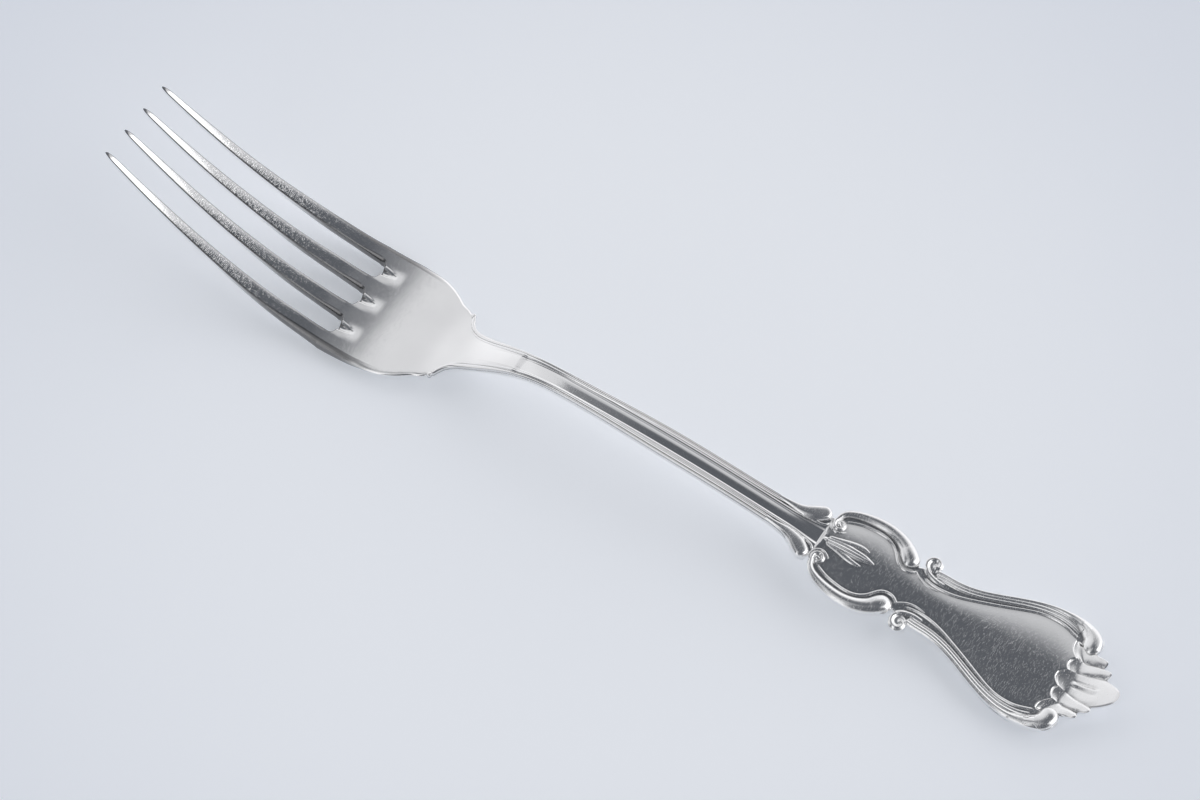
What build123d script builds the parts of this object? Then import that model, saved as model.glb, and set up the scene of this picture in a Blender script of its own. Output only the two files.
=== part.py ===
"""Four-tined dinner fork with a reeded stem, a scrolled handle and a shell end.

Millimetres. +X runs from the shell to the tips of the tines, +Y is the left side, +Z is up.
The fork lies on the plane z = 0, on its palm and on the heel of its handle.
"""
import os

from build123d import *

# Lengths along the fork, from the tip of the shell to the tips of the tines
shell_length = 10.4
panel_length = 48.0
foot_length = 4.6
stem_length = 59.0
neck_length = 15.0
palm_length = 21.0
tine_length = 47.0

# Heights of the front face above the table
shell_tip_height = 5.3
shell_middle_height = 3.1
waist_height = 3.7
foot_height = 5.9
stem_middle_height = 9.3
crest_height = 11.0
vee_height = 9.5
neck_middle_height = 6.0
shoulder_height = 3.2
tine_rise = 20.2
tine_bend = 1.7

# Thicknesses
plate_thickness = 2.5
shell_tip_thickness = 1.3
stem_thickness = 3.2
palm_thickness = 2.6
tine_tip_thickness = 0.9

# Worn flats that the fork rests on
heel_flat_length = 7.0
palm_flat_length = 12.0

# Handle outline: half-widths, and setbacks from the foot of the stem
crown_start_half_width = 4.7
crown_half_width = 8.95
crown_setback = 8.4
notch_half_width = 5.2
notch_setback = 16.8
waist_half_width = 6.35
waist_setback = 23.9
fan_half_width = 12.0
fan_station = 4.6
heel_half_width = 11.2
heel_overhang = 1.0

# Shell: half-widths and reaches of the cusps, notches and tips, counted from the shell's root
inner_cusp_half_width = 1.8
outer_cusp_half_width = 4.5
shell_root_half_width = 7.7
shell_root_setback = 1.5
inner_notch_half_width = 3.05
inner_notch_reach = 6.8
outer_notch_half_width = 4.85
outer_notch_reach = 5.3
centre_tip_half_width = 2.15
centre_corner_reach = 8.85
inner_tip_half_width = 4.5
inner_tip_reach = 6.95
outer_tip_half_width = 6.4
outer_tip_reach = 5.4
bulb_edge_half_width = 6.9
bulb_edge_reach = 2.7

# Stem, neck and palm: half-widths and stations
stem_half_width = 2.75
stem_foot_half_width = 4.2
foot_flare_half_width = 2.95
foot_flare_run = 7.4
crest_setback = 14.0
flute_half_width = 1.4
flute_depth = 0.45
neck_middle_half_width = 3.9
neck_middle_run = 9.0
neck_flare_half_width = 5.3
neck_flare_setback = 2.1
shoulder_half_width = 8.0
palm_corner_half_width = 11.3
palm_corner_run = 5.2
palm_half_width = 12.4
palm_shoulder_run = 10.5

# Tines and the slots between them
slot_width = 4.2
inner_tine_width = 2.85
inner_tip_centre = 2.85
outer_tip_centre = 8.7
tine_tip_width = 0.9
outer_tine_taper = 0.95
inner_tine_taper = 1.8
tine_corner = 0.35
tine_sections = 7

# Raised ornament
seam = 0.05
relief = 0.6
reed_relief = 0.35
reed_width = 1.25
border_width = 3.3
c_scroll_width = 1.95
c_scroll_start = 1.0
c_scroll_end = 14.2
s_scroll_start = 21.0
s_scroll_heel = 1.4
c_volute_radius = 1.2
c_volute_setback = 1.4
c_volute_half_width = 3.9
c_bulb_radius = 1.25
c_bulb_setback = 15.7
c_bulb_half_width = 5.5
s_volute_radius = 1.5
s_volute_setback = 19.2
s_volute_half_width = 6.8
end_bulb_radius = 2.2
end_bulb_reach = 1.4
end_bulb_half_width = 8.8
lobe_radius = 1.3
lobe_setback = 2.3
lobe_half_width = 4.9
leaf_half_width = 1.5
leaf_start = 1.8
leaf_length = 8.7

# Stations along X, with the middle of the fork at the origin
overall_length = (
    shell_length + panel_length + foot_length + stem_length + neck_length + palm_length + tine_length
)
x_tip = -overall_length / 2
x_shell = x_tip + shell_length
x_foot = x_shell + panel_length
x_stem = x_foot + foot_length
x_vee = x_stem + stem_length
x_shoulder = x_vee + neck_length
x_root = x_shoulder + palm_length
x_fan = x_shell + fan_station
x_heel = x_shell - heel_overhang
x_waist = x_foot - waist_setback
x_notch = x_foot - notch_setback
x_crown = x_foot - crown_setback
x_crest = x_vee - crest_setback

# Room beyond the outlines for the slabs that shape them
slab_half_width = max(fan_half_width, palm_half_width) + plate_thickness
slab_height = tine_rise + crest_height + shell_tip_height
slot_pitch = inner_tine_width + slot_width
outer_root_centre = (slot_pitch + slot_width / 2 + palm_half_width) / 2
outer_tine_width = palm_half_width - slot_pitch - slot_width / 2

front_points = [
    (x_tip, shell_tip_height),
    (x_tip + shell_length / 2, shell_middle_height),
    (x_shell, plate_thickness),
    (x_fan, plate_thickness),
    (x_waist, waist_height),
    (x_foot, foot_height),
    ((x_foot + x_crest) / 2, stem_middle_height),
    (x_crest, crest_height),
    (x_vee, vee_height),
    ((x_vee + x_shoulder) / 2, neck_middle_height),
    (x_shoulder, shoulder_height),
    ((x_shoulder + x_root) / 2, palm_thickness),
    (x_root, palm_thickness),
]
heel_flat_end = x_shell + heel_flat_length
palm_flat_start = x_root - palm_flat_length
back_points = [
    (heel_flat_end, 0),
    (x_waist, waist_height - plate_thickness),
    (x_foot, foot_height - stem_thickness),
    ((x_foot + x_crest) / 2, stem_middle_height - stem_thickness),
    (x_crest, crest_height - stem_thickness),
    (x_vee, vee_height - stem_thickness),
    ((x_vee + x_shoulder) / 2, neck_middle_height - stem_thickness),
    (palm_flat_start, 0),
]

fan_points = [
    (x_foot - s_scroll_start, waist_half_width),
    (x_waist, waist_half_width),
    ((x_waist + x_fan) / 2, (waist_half_width + fan_half_width) / 2),
    (x_fan, fan_half_width),
    (x_heel, heel_half_width),
]
stem_points = [
    (x_stem, stem_foot_half_width),
    (x_stem + foot_flare_run, foot_flare_half_width),
    ((x_stem + x_vee) / 2, stem_half_width),
    (x_vee, stem_half_width),
]
neck_points = [
    (x_vee, stem_half_width),
    (x_vee + neck_middle_run, neck_middle_half_width),
    (x_shoulder - neck_flare_setback, neck_flare_half_width),
    (x_shoulder, shoulder_half_width),
]
palm_points = [
    (x_shoulder, shoulder_half_width),
    (x_shoulder + palm_corner_run, palm_corner_half_width),
    (x_shoulder + palm_shoulder_run, palm_half_width),
    (x_root, palm_half_width),
]


def mirrored(points):
    """The same points on the right side of the fork."""
    return [(x, -y) for x, y in points]


def inset(points, width):
    """The same points drawn in towards the middle line."""
    return [(x, y - width) for x, y in points]


def handed(points, side):
    """Points of the left side, or their mirror image where side is -1."""
    return [(x, side * y) for x, y in points]


def save(builder, name):
    """Label a finished piece and write it to its own file."""
    builder.part.label = name
    export_step(builder.part, f"parts/{name}.step")


os.makedirs("parts", exist_ok=True)

# The fork's body seen from the side, as a slab that the plan outlines cut to shape
with BuildPart() as body_slab:
    with BuildSketch(Plane.XZ):
        with BuildLine():
            front = Spline(*front_points)
            shell_back = Spline(
                (x_tip, shell_tip_height - shell_tip_thickness),
                (x_shell, 0),
                tangents=[((front % 0).X, (front % 0).Z), (1, 0)],
            )
            Line(shell_back @ 1, (heel_flat_end, 0))
            back = Spline(*back_points, tangents=[(1, 0), (1, 0)])
            Line(back @ 1, (x_root, 0))
            Line((x_root, 0), front @ 1)
            Line(front @ 0, shell_back @ 0)
        make_face()
    extrude(amount=slab_half_width, both=True)


def front_slab(low, high):
    """Slab that follows the front face, from one height above it to another."""
    with BuildPart() as slab:
        with BuildSketch(Plane.XZ):
            with BuildLine():
                upper = Spline(*[(x, z + high) for x, z in front_points])
                lower = Spline(*[(x, z + low) for x, z in front_points])
                Line(upper @ 0, lower @ 0)
                Line(upper @ 1, lower @ 1)
            make_face()
        extrude(amount=slab_half_width, both=True)
    return slab.part


relief_slab = front_slab(seam, seam + relief)
reed_slab = front_slab(seam, seam + reed_relief)
flute_slab = front_slab(-flute_depth, stem_thickness)

# Handle plate: crown, waist and fan, with the ears that carry the volutes
with BuildPart() as handle_plate:
    with BuildSketch():
        with BuildLine():
            crown_left = ThreePointArc(
                (x_foot, crown_start_half_width), (x_crown, crown_half_width), (x_notch, notch_half_width)
            )
            crown_right = ThreePointArc(
                (x_foot, -crown_start_half_width), (x_crown, -crown_half_width), (x_notch, -notch_half_width)
            )
            fan_left = Spline(*fan_points)
            fan_right = Spline(*mirrored(fan_points))
            Line(crown_left @ 0, crown_right @ 0)
            Line(crown_left @ 1, fan_left @ 0)
            Line(crown_right @ 1, fan_right @ 0)
            for side, heel in ((1, fan_left @ 1), (-1, fan_right @ 1)):
                Polyline(
                    heel,
                    (x_shell - bulb_edge_reach, side * end_bulb_half_width),
                    (x_shell - bulb_edge_reach, side * bulb_edge_half_width),
                    (x_shell + shell_root_setback, side * shell_root_half_width),
                    (x_shell, side * outer_cusp_half_width),
                    (x_shell, side * inner_cusp_half_width),
                )
            Line((x_shell, inner_cusp_half_width), (x_shell, -inner_cusp_half_width))
        make_face()
        with Locations(*[(x_foot - s_volute_setback, side * s_volute_half_width) for side in (1, -1)]):
            Circle(s_volute_radius)
    extrude(amount=slab_height)
    add(body_slab.part, mode=Mode.INTERSECT)
save(handle_plate, "handle_plate")

# Shell: one middle ray and two rays on each side, parted along straight furrows
with BuildPart() as shell_ray_centre:
    with BuildSketch():
        with BuildLine():
            left_edge = Polyline(
                (x_shell, inner_cusp_half_width),
                (x_shell - inner_notch_reach, inner_notch_half_width),
                (x_shell - centre_corner_reach, centre_tip_half_width),
            )
            right_edge = Polyline(
                (x_shell, -inner_cusp_half_width),
                (x_shell - inner_notch_reach, -inner_notch_half_width),
                (x_shell - centre_corner_reach, -centre_tip_half_width),
            )
            ThreePointArc(left_edge @ 1, (x_tip, 0), right_edge @ 1)
            Line(left_edge @ 0, right_edge @ 0)
        make_face()
    extrude(amount=slab_height)
    add(body_slab.part, mode=Mode.INTERSECT)
save(shell_ray_centre, "shell_ray_centre")

inner_ray = [
    (x_shell, inner_cusp_half_width),
    (x_shell - inner_notch_reach, inner_notch_half_width),
    (x_shell - inner_tip_reach, inner_tip_half_width),
    (x_shell - outer_notch_reach, outer_notch_half_width),
    (x_shell, outer_cusp_half_width),
]
outer_ray = [
    (x_shell, outer_cusp_half_width),
    (x_shell - outer_notch_reach, outer_notch_half_width),
    (x_shell - outer_tip_reach, outer_tip_half_width),
    (x_shell - bulb_edge_reach, bulb_edge_half_width),
    (x_shell + shell_root_setback, shell_root_half_width),
]
for side, hand in ((1, "left"), (-1, "right")):
    for ray_points, place in ((inner_ray, "inner"), (outer_ray, "outer")):
        with BuildPart() as shell_ray:
            with BuildSketch():
                with BuildLine():
                    Polyline(*handed(ray_points, side), close=True)
                make_face()
            extrude(amount=slab_height)
            add(body_slab.part, mode=Mode.INTERSECT)
        save(shell_ray, f"shell_ray_{place}_{hand}")

# Foot of the stem, which spreads into two lobes above the handle
with BuildPart() as stem_foot:
    with BuildSketch():
        with BuildLine():
            Polyline(
                (x_foot, crown_start_half_width),
                (x_stem, stem_foot_half_width),
                (x_stem, -stem_foot_half_width),
                (x_foot, -crown_start_half_width),
                close=True,
            )
        make_face()
        with Locations(*[(x_foot + lobe_setback, side * lobe_half_width) for side in (1, -1)]):
            Circle(lobe_radius)
    extrude(amount=slab_height)
    add(body_slab.part, mode=Mode.INTERSECT)
save(stem_foot, "stem_foot")

# Stem, with a flute sunk along its middle
with BuildPart() as stem_flute:
    with BuildSketch():
        with Locations(((x_stem + x_vee) / 2, 0)):
            Rectangle(stem_length, 2 * flute_half_width)
    extrude(amount=slab_height)
    add(flute_slab, mode=Mode.INTERSECT)

with BuildPart() as stem:
    with BuildSketch():
        with BuildLine():
            stem_left = Spline(*stem_points)
            stem_right = Spline(*mirrored(stem_points))
            Line(stem_left @ 0, stem_right @ 0)
            Line(stem_left @ 1, stem_right @ 1)
        make_face()
    extrude(amount=slab_height)
    add(body_slab.part, mode=Mode.INTERSECT)
    add(stem_flute.part, mode=Mode.SUBTRACT)
save(stem, "stem")

# Neck, which flares from the stem to the shoulders of the palm
with BuildPart() as neck:
    with BuildSketch():
        with BuildLine():
            neck_left = Spline(*neck_points)
            neck_right = Spline(*mirrored(neck_points))
            Line(neck_left @ 0, neck_right @ 0)
            Line(neck_left @ 1, neck_right @ 1)
        make_face()
    extrude(amount=slab_height)
    add(body_slab.part, mode=Mode.INTERSECT)
save(neck, "neck")

# Palm, with the round ends of the three slots
with BuildPart() as palm:
    with BuildSketch():
        with BuildLine():
            palm_left = Spline(*palm_points)
            palm_right = Spline(*mirrored(palm_points))
            Line(palm_left @ 0, palm_right @ 0)
            Line(palm_left @ 1, palm_right @ 1)
        make_face()
        with Locations(*[(x_root, step * slot_pitch) for step in (-1, 0, 1)]):
            Circle(slot_width / 2, mode=Mode.SUBTRACT)
    extrude(amount=slab_height)
    add(body_slab.part, mode=Mode.INTERSECT)
save(palm, "palm")

# Tines, lofted through rounded sections that shrink and rise towards the tips
inner_root_centre = slot_pitch / 2
tip_lean = Vector(tine_length, 0, tine_rise * tine_bend).normalized().Z
tine_run = tine_length - tine_tip_thickness * tip_lean
tine_plans = [
    ("tine_1", outer_root_centre, outer_tip_centre, outer_tine_width, outer_tine_taper),
    ("tine_2", inner_root_centre, inner_tip_centre, inner_tine_width, inner_tine_taper),
    ("tine_3", -inner_root_centre, -inner_tip_centre, inner_tine_width, inner_tine_taper),
    ("tine_4", -outer_root_centre, -outer_tip_centre, outer_tine_width, outer_tine_taper),
]
for tine_name, root_centre, tip_centre, root_width, taper in tine_plans:
    with BuildPart() as tine:
        for section in range(tine_sections):
            share = section / (tine_sections - 1)
            width = root_width + (tine_tip_width - root_width) * share**taper
            thickness = palm_thickness + (tine_tip_thickness - palm_thickness) * share
            rise_rate = tine_rise * tine_bend * share ** (tine_bend - 1)
            normal = Vector(tine_length, 0, rise_rate).normalized()
            upward = Vector(-normal.Z, 0, normal.X)
            front_point = Vector(
                x_root + tine_run * share,
                root_centre + (tip_centre - root_centre) * share,
                palm_thickness + tine_rise * share**tine_bend,
            )
            centre = front_point - upward * (thickness / 2)
            with BuildSketch(Plane(centre, x_dir=(0, 1, 0), z_dir=normal)):
                RectangleRounded(width, thickness, tine_corner)
        loft()
    save(tine, tine_name)

# Raised ornament, in left and right pairs
for side, hand in ((1, "left"), (-1, "right")):
    with BuildPart() as stem_reed:
        with BuildSketch():
            with BuildLine():
                reed_outer = Spline(*handed(stem_points, side))
                reed_inner = Spline(*handed(inset(stem_points, reed_width), side))
                Line(reed_outer @ 0, reed_inner @ 0)
                Line(reed_outer @ 1, reed_inner @ 1)
            make_face()
        extrude(amount=slab_height)
        add(reed_slab, mode=Mode.INTERSECT)
    save(stem_reed, f"stem_reed_{hand}")

    with BuildPart() as shoulder_thread:
        with BuildSketch():
            with BuildLine():
                thread_outer = Spline(*handed(neck_points, side))
                thread_inner = Spline(*handed(inset(neck_points, reed_width), side))
                Line(thread_outer @ 0, thread_inner @ 0)
                Line(thread_outer @ 1, thread_inner @ 1)
            make_face()
        extrude(amount=slab_height)
        add(reed_slab, mode=Mode.INTERSECT)
    save(shoulder_thread, f"shoulder_thread_{hand}")

    with BuildPart() as foot_lobe:
        with BuildSketch():
            with Locations((x_foot + lobe_setback, side * lobe_half_width)):
                Circle(lobe_radius)
        extrude(amount=slab_height)
        add(relief_slab, mode=Mode.INTERSECT)
    save(foot_lobe, f"foot_lobe_{hand}")

    with BuildPart() as c_scroll:
        with BuildSketch():
            with BuildLine():
                Polyline(
                    (x_foot, side * crown_start_half_width),
                    (x_notch, side * notch_half_width),
                )
                ThreePointArc(
                    (x_foot, side * crown_start_half_width),
                    (x_crown, side * crown_half_width),
                    (x_notch, side * notch_half_width),
                )
            make_face()
            with BuildLine():
                Polyline(
                    (x_foot, side * (crown_start_half_width - c_scroll_width)),
                    (x_notch, side * (notch_half_width - c_scroll_width)),
                )
                ThreePointArc(
                    (x_foot, side * (crown_start_half_width - c_scroll_width)),
                    (x_crown, side * (crown_half_width - c_scroll_width)),
                    (x_notch, side * (notch_half_width - c_scroll_width)),
                )
            make_face(mode=Mode.SUBTRACT)
            with Locations((x_foot - (c_scroll_start + c_scroll_end) / 2, side * crown_half_width)):
                Rectangle(c_scroll_end - c_scroll_start, 2 * crown_half_width, mode=Mode.INTERSECT)
            with Locations((x_foot - c_volute_setback, side * c_volute_half_width)):
                Circle(c_volute_radius + seam, mode=Mode.SUBTRACT)
        extrude(amount=slab_height)
        add(relief_slab, mode=Mode.INTERSECT)
    save(c_scroll, f"c_scroll_{hand}")

    with BuildPart() as s_scroll:
        with BuildSketch():
            with BuildLine():
                s_outer = Spline(*handed(fan_points, side))
                s_inner = Spline(*handed(inset(fan_points, border_width), side))
                Line(s_outer @ 0, s_inner @ 0)
                Line(s_outer @ 1, s_inner @ 1)
            make_face()
            with Locations((x_shell + s_scroll_heel - fan_half_width, side * fan_half_width)):
                Rectangle(2 * fan_half_width, 2 * fan_half_width, mode=Mode.SUBTRACT)
        extrude(amount=slab_height)
        add(relief_slab, mode=Mode.INTERSECT)
    save(s_scroll, f"s_scroll_{hand}")

    round_ornaments = [
        ("c_volute", x_foot - c_volute_setback, c_volute_half_width, c_volute_radius),
        ("c_bulb", x_foot - c_bulb_setback, c_bulb_half_width, c_bulb_radius),
        ("s_volute", x_foot - s_volute_setback, s_volute_half_width, s_volute_radius),
        ("end_bulb", x_shell - end_bulb_reach, end_bulb_half_width, end_bulb_radius),
    ]
    for ornament_name, ornament_x, ornament_y, radius in round_ornaments:
        with BuildPart() as ornament:
            with BuildSketch():
                with Locations((ornament_x, side * ornament_y)):
                    Circle(radius)
            extrude(amount=slab_height)
            add(relief_slab, mode=Mode.INTERSECT)
        save(ornament, f"{ornament_name}_{hand}")

# Leaf drop on the crown of the handle
with BuildPart() as leaf_drop:
    with BuildSketch():
        with BuildLine():
            leaf_root = (x_foot - leaf_start, 0)
            leaf_tip = (x_foot - leaf_start - leaf_length, 0)
            leaf_middle = x_foot - leaf_start - leaf_length / 2
            ThreePointArc(leaf_root, (leaf_middle, leaf_half_width), leaf_tip)
            ThreePointArc(leaf_root, (leaf_middle, -leaf_half_width), leaf_tip)
        make_face()
    extrude(amount=slab_height)
    add(reed_slab, mode=Mode.INTERSECT)
save(leaf_drop, "leaf_drop")
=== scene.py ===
"""A worn silver dinner fork on a pale table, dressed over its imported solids."""
import math

import bmesh
import bpy
import numpy as np
from mathutils import Matrix, Vector


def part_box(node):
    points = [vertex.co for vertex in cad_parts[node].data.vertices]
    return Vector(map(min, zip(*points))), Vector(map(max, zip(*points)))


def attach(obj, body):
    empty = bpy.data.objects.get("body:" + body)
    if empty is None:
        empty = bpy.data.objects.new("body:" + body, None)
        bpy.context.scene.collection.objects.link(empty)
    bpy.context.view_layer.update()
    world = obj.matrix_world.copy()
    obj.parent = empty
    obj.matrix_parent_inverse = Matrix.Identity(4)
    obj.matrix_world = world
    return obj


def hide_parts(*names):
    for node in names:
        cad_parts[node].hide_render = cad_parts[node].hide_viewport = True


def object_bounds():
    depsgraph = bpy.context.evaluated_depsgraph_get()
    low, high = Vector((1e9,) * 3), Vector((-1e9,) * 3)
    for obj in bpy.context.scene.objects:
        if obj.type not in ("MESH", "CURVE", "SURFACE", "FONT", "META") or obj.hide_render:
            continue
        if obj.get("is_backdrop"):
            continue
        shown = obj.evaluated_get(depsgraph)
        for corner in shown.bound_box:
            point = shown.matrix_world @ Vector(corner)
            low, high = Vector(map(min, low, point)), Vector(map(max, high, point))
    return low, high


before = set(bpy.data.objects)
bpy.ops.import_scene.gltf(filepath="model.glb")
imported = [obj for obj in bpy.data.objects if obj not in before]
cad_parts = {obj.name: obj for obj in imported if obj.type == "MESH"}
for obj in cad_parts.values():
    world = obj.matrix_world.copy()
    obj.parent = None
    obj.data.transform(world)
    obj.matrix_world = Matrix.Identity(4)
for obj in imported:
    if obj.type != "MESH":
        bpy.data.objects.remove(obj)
cad_low, cad_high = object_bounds()

# Sizes are millimetres; a station is a distance along the fork from the tip of the shell
MM = 0.001
HALF_LENGTH = (cad_high.x - cad_low.x) / 2 / MM


def stations(node):
    """The two stations that a node of the frame spans."""
    return [corner.x / MM + HALF_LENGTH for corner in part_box(node)]


FOOT, STEM = stations("stem_foot")
VEE, SHOULDER = stations("neck")
ROOT, TIP = stations("tine_2")

# Where the plate of the handle ends under the shell, and the notch between its fan and its crown
PLATE_END = 8.6
NOTCH = 41.6

# Crown of the handle: a round bow between the foot and the notch
CROWN_CENTRE = 50.0
CROWN_RADIUS = 11.0
CROWN_DROP = 1.85

# Palm and slots; a pair of stations is where something fades in or out
PALM_HALF_WIDTH = 12.5
EDGE_RADIUS = 1.1
PALM_TAPER = (149, 152)
# Stations over which the painted shade on the palm's rims fades in
PALM_RIM_SHADE_RUN = (144, 154)
SLOT_RADIUS = 1.7
SLOT_PITCH = 7.05
SLOT_ROUND = 0.7
SLOT_END_ROUND = 0.4
SLOT_FULLNESS = 1.7
OPEN_FULLNESS = 2.3
SLOT_DEPTH = 1.35
SLOT_SQUARE = 0.65
NOTCH_LENGTH = 3.4
NOTCH_HALF_WIDTH = 0.9
NOTCH_SLOPE = 1.2
NOTCH_SWEEP = 2.6
NOTCH_DIP = 0.2
NOTCH_DIP_RUN = (ROOT - 6.5, ROOT - 2)
NOTCH_BURR = 0.1
NOTCH_BURR_WIDTH = 0.18
NOTCH_BURR_GAP = 0.15

# Tines; a run or a start is a share of a tine's length
TINE_ROOT_THICKNESS = 2.5
TINE_TAPER = 0.8
TINE_SWELL = 0.06
TINE_EDGE = 0.14
TINE_EDGE_SHARE = 0.3
TINE_CREST = 0.3
TINE_UNDERCUT = 0.3
ROOT_BLEND = 0.12
OPEN_ROUND_RUN = 0.35
SLOT_ROUND_RUN = 0.14
WALL_CLEARS = (0.2, 0.5)
TIP_HALF_WIDTH = 0.48
TIP_THICKNESS = 0.9
TIP_START = 0.955
TIP_ROUND = 0.0455
TIP_BLUNT = 0.12
TIP_THIN = 0.25

# Relief of the handle: the step of its plan grid, how far the grid reaches, and how soft the relief is
RELIEF_STEP = 0.06
RELIEF_END = 70.0
RELIEF_SIDE = 13.0
RELIEF_SOFTNESS = 0.09
HOLLOW_REACH = 0.4
HOLLOW_DEPTH = 0.14
OPEN_EDGE = 0.5
BED_MARGIN = 3
PIECE_LIFT = 0.012

# Darkening from 0 to 1: tarnish and painted shade in hollows, grooves, along reeds, threads and rays, and
# painted shade along the tines' edges; and where the grooves beside the rib clear
HOLLOW_TARNISH_AND_SHADE = 0.5
GROOVE_TARNISH_AND_SHADE = 0.9
GROOVE_CLEARS = (85, 108)
GROOVE_CLEARED = 0.85
REED_TARNISH_AND_SHADE = 0.75
THREAD_TARNISH_AND_SHADE = 0.15
EDGE_PAINTED_SHADE = 0.85
RAY_TARNISH_AND_SHADE = 0.3

# Painted shade down a rim, standing for dark reflections, from the top edge to the bottom edge
RIM_PAINTED_SHADE = (0.92, 0.92, 0.92, 0.92, 0.92, 0.85, 0.2, 0.0)

# Edges of the handle and stem, and how the back thins towards them
HANDLE_EDGE = 0.4
STEM_EDGE = 0.5
EDGE_THICKNESS = 1.1
STEM_EDGE_THICKNESS = 0.55
STEM_EDGE_RUN = 8
BACK_FULLNESS = 2.5
BACK_EVENS = (143, 156)

# Flank of a bead that reaches the back: shares of its half-width and of the edge's thickness
OPEN_FLANK = ((1.0, 0.35), (0.92, 0.7), (0.7, 1.0))

# Grooves of the shell, from the scallop's cusp to the notch between two tips, as (station, side)
CENTRE_GROOVE = ((10.4, 1.8), (3.6, 3.05))
MIDDLE_GROOVE = ((10.15, 4.5), (5.1, 4.85))
OUTER_GROOVE = ((11.9, 7.6), (7.4, 6.6))
# How far the heads of the rays bulge past the cusps, and the depth of their bed
CENTRE_BULGE = 1.4
INNER_BULGE = 0.75
OUTER_BULGE = 0.6
SHELL_BED = 1.0
SHELL_BED_STEP = (0.45, 0.15)
SHELL_BED_SIDE = (7.2, 7.6)
# A ray: the lip at its head, the dish behind it, and the petal
RAY_LIP = 0.12
RAY_DISH = 0.36
RAY_GROOVE = 0.2
RAY_SWELL = 0.34
RAY_VEIN = 0.2
RAY_DROOP = 0.12
RAY_LIFT = 0.08
RAY_THICKNESS = 0.45
RAY_ROOT = 0.9

# Rib along the stem, and the reeds beside it
RIB_HALF_WIDTH = 1.32
RIB_FLARE = 0.45
RIB_FLARE_LENGTH = 7.0
RIB_SINK = 0.16
RIB_RISE = 0.18
RIB_SIDE = (0.76, 1.02)
RIB_STARTS = (FOOT + 0.1, FOOT + 0.5)
RIB_CROWNS = (FOOT + 1, FOOT + 12)
RIB_STOPS = (VEE - 1.2, VEE - 0.2)
REED_ROWS = 140

# Silver: clean and dulled colours, the dark colour of tarnish and painted shade, and the softness of the
# struck ornament
CLEAN_SILVER = (0.94, 0.935, 0.925, 1)
DULL_SILVER = (0.89, 0.885, 0.88, 1)
TARNISHED_AND_SHADED_SILVER = (0.11, 0.108, 0.11, 1)
STRUCK_SATIN = 0.1
# Hairline scratches: how each set is turned, and its scale across and along
HAIRLINES = ((0.35, 7000, 900), (1.3, 8000, 1200), (2.2, 7500, 1000), (2.8, 9000, 1300))
SCRATCH_DEPTH = 0.00002
# Where along the fork, in metres, the tines' wear starts and ends, and the handled part ends
WEAR_STARTS = (0.055, 0.075)
WEAR_ENDS = (0.08, 0.097)
HANDLED_TO = (-0.05, -0.042)

# Table: its two tints, and its painted glow, a pool of light brighter near the fork and fainter farther out
TABLE_SIZE = 6
TABLE_TINTS = ((0.87, 0.89, 0.935, 1), (0.9, 0.915, 0.95, 1))
TABLE_PAINTED_GLOWS = ((0.21, 0.22, 0.23, 1), (0.095, 0.113, 0.144, 1))
NO_GLOW = (0, 0, 0, 1)

# Light of the lamp beyond the handle's end
KEY_LIGHT = 1.6

# Viewpoint: the point looked at, then heading, elevation and roll in degrees, distance and lens
LOOKED_AT = (5.84, -6.17, 0)
VIEW_ANGLES = (121.95, 58.57, 0.26)
VIEW_DISTANCE = 634.04
LENS = 105
SENSOR_WIDTH = 36


def smooth_curve(knots):
    """Curve through (station, value) knots, with no break in its slope or its bend."""
    at, height = np.array(knots, float).T
    count = len(at)
    step = np.diff(at)
    slope = np.diff(height) / step
    system = np.eye(count)
    pull = np.zeros(count)
    for i in range(1, count - 1):
        system[i, i - 1:i + 2] = step[i - 1], 2 * (step[i - 1] + step[i]), step[i]
        pull[i] = 6 * (slope[i] - slope[i - 1])
    bend = np.linalg.solve(system, pull)

    def value(where):
        where = np.asarray(where, float)
        i = np.clip(np.searchsorted(at, where) - 1, 0, count - 2)
        past = where - at[i]
        left = at[i + 1] - where
        cubic = (bend[i] * left**3 + bend[i + 1] * past**3) / (6 * step[i])
        start = (height[i] / step[i] - bend[i] * step[i] / 6) * left
        end = (height[i + 1] / step[i] - bend[i + 1] * step[i] / 6) * past
        return cubic + start + end

    return value


def smooth_path(points, count):
    """Evenly stepped rows of a smooth line through a few rows that start with station and side."""
    points = np.array(points, float)
    run = np.concatenate([[0], np.cumsum(np.linalg.norm(np.diff(points[:, :2], axis=0), axis=1))])
    steps = np.linspace(0, run[-1], count)
    return np.stack([smooth_curve(list(zip(run, column)))(steps) for column in points.T], axis=1)


def ease(value, low, high):
    """0 below low, 1 above high, and a soft ramp between."""
    share = np.clip((np.asarray(value, float) - low) / (high - low), 0, 1)
    return share * share * (3 - 2 * share)


# Side view of the fork: front face and back face
front_line = smooth_curve([
    (0, 5.3), (5.2, 3.1), (10.4, 2.5), (15, 2.5), (34.5, 3.7), (FOOT, 5.9), (83.2, 9.3), (108, 11.0),
    (VEE, 9.5), (129.5, 6.0), (SHOULDER, 3.15), (142, 2.56), (146.5, 2.36), (150, 2.36), (154, 2.5),
    (ROOT, 2.8), (162, 3.3), (166, 4.0), (170, 4.9), (175, 6.45), (180, 8.35), (185, 10.6), (190, 13.2),
    (195, 16.15), (200, 19.35), (TIP, 22.8),
])
back_line = smooth_curve([
    (0, 4.0), (4, 2.0), (9, 0.05), (13, 0), (18, 0), (34.5, 1.2), (FOOT, 2.7), (83.2, 6.1), (108, 7.8),
    (VEE, 6.3), (129.5, 2.8), (SHOULDER, 0.7), (145, 0), (152, 0), (ROOT, 0),
])
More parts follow.
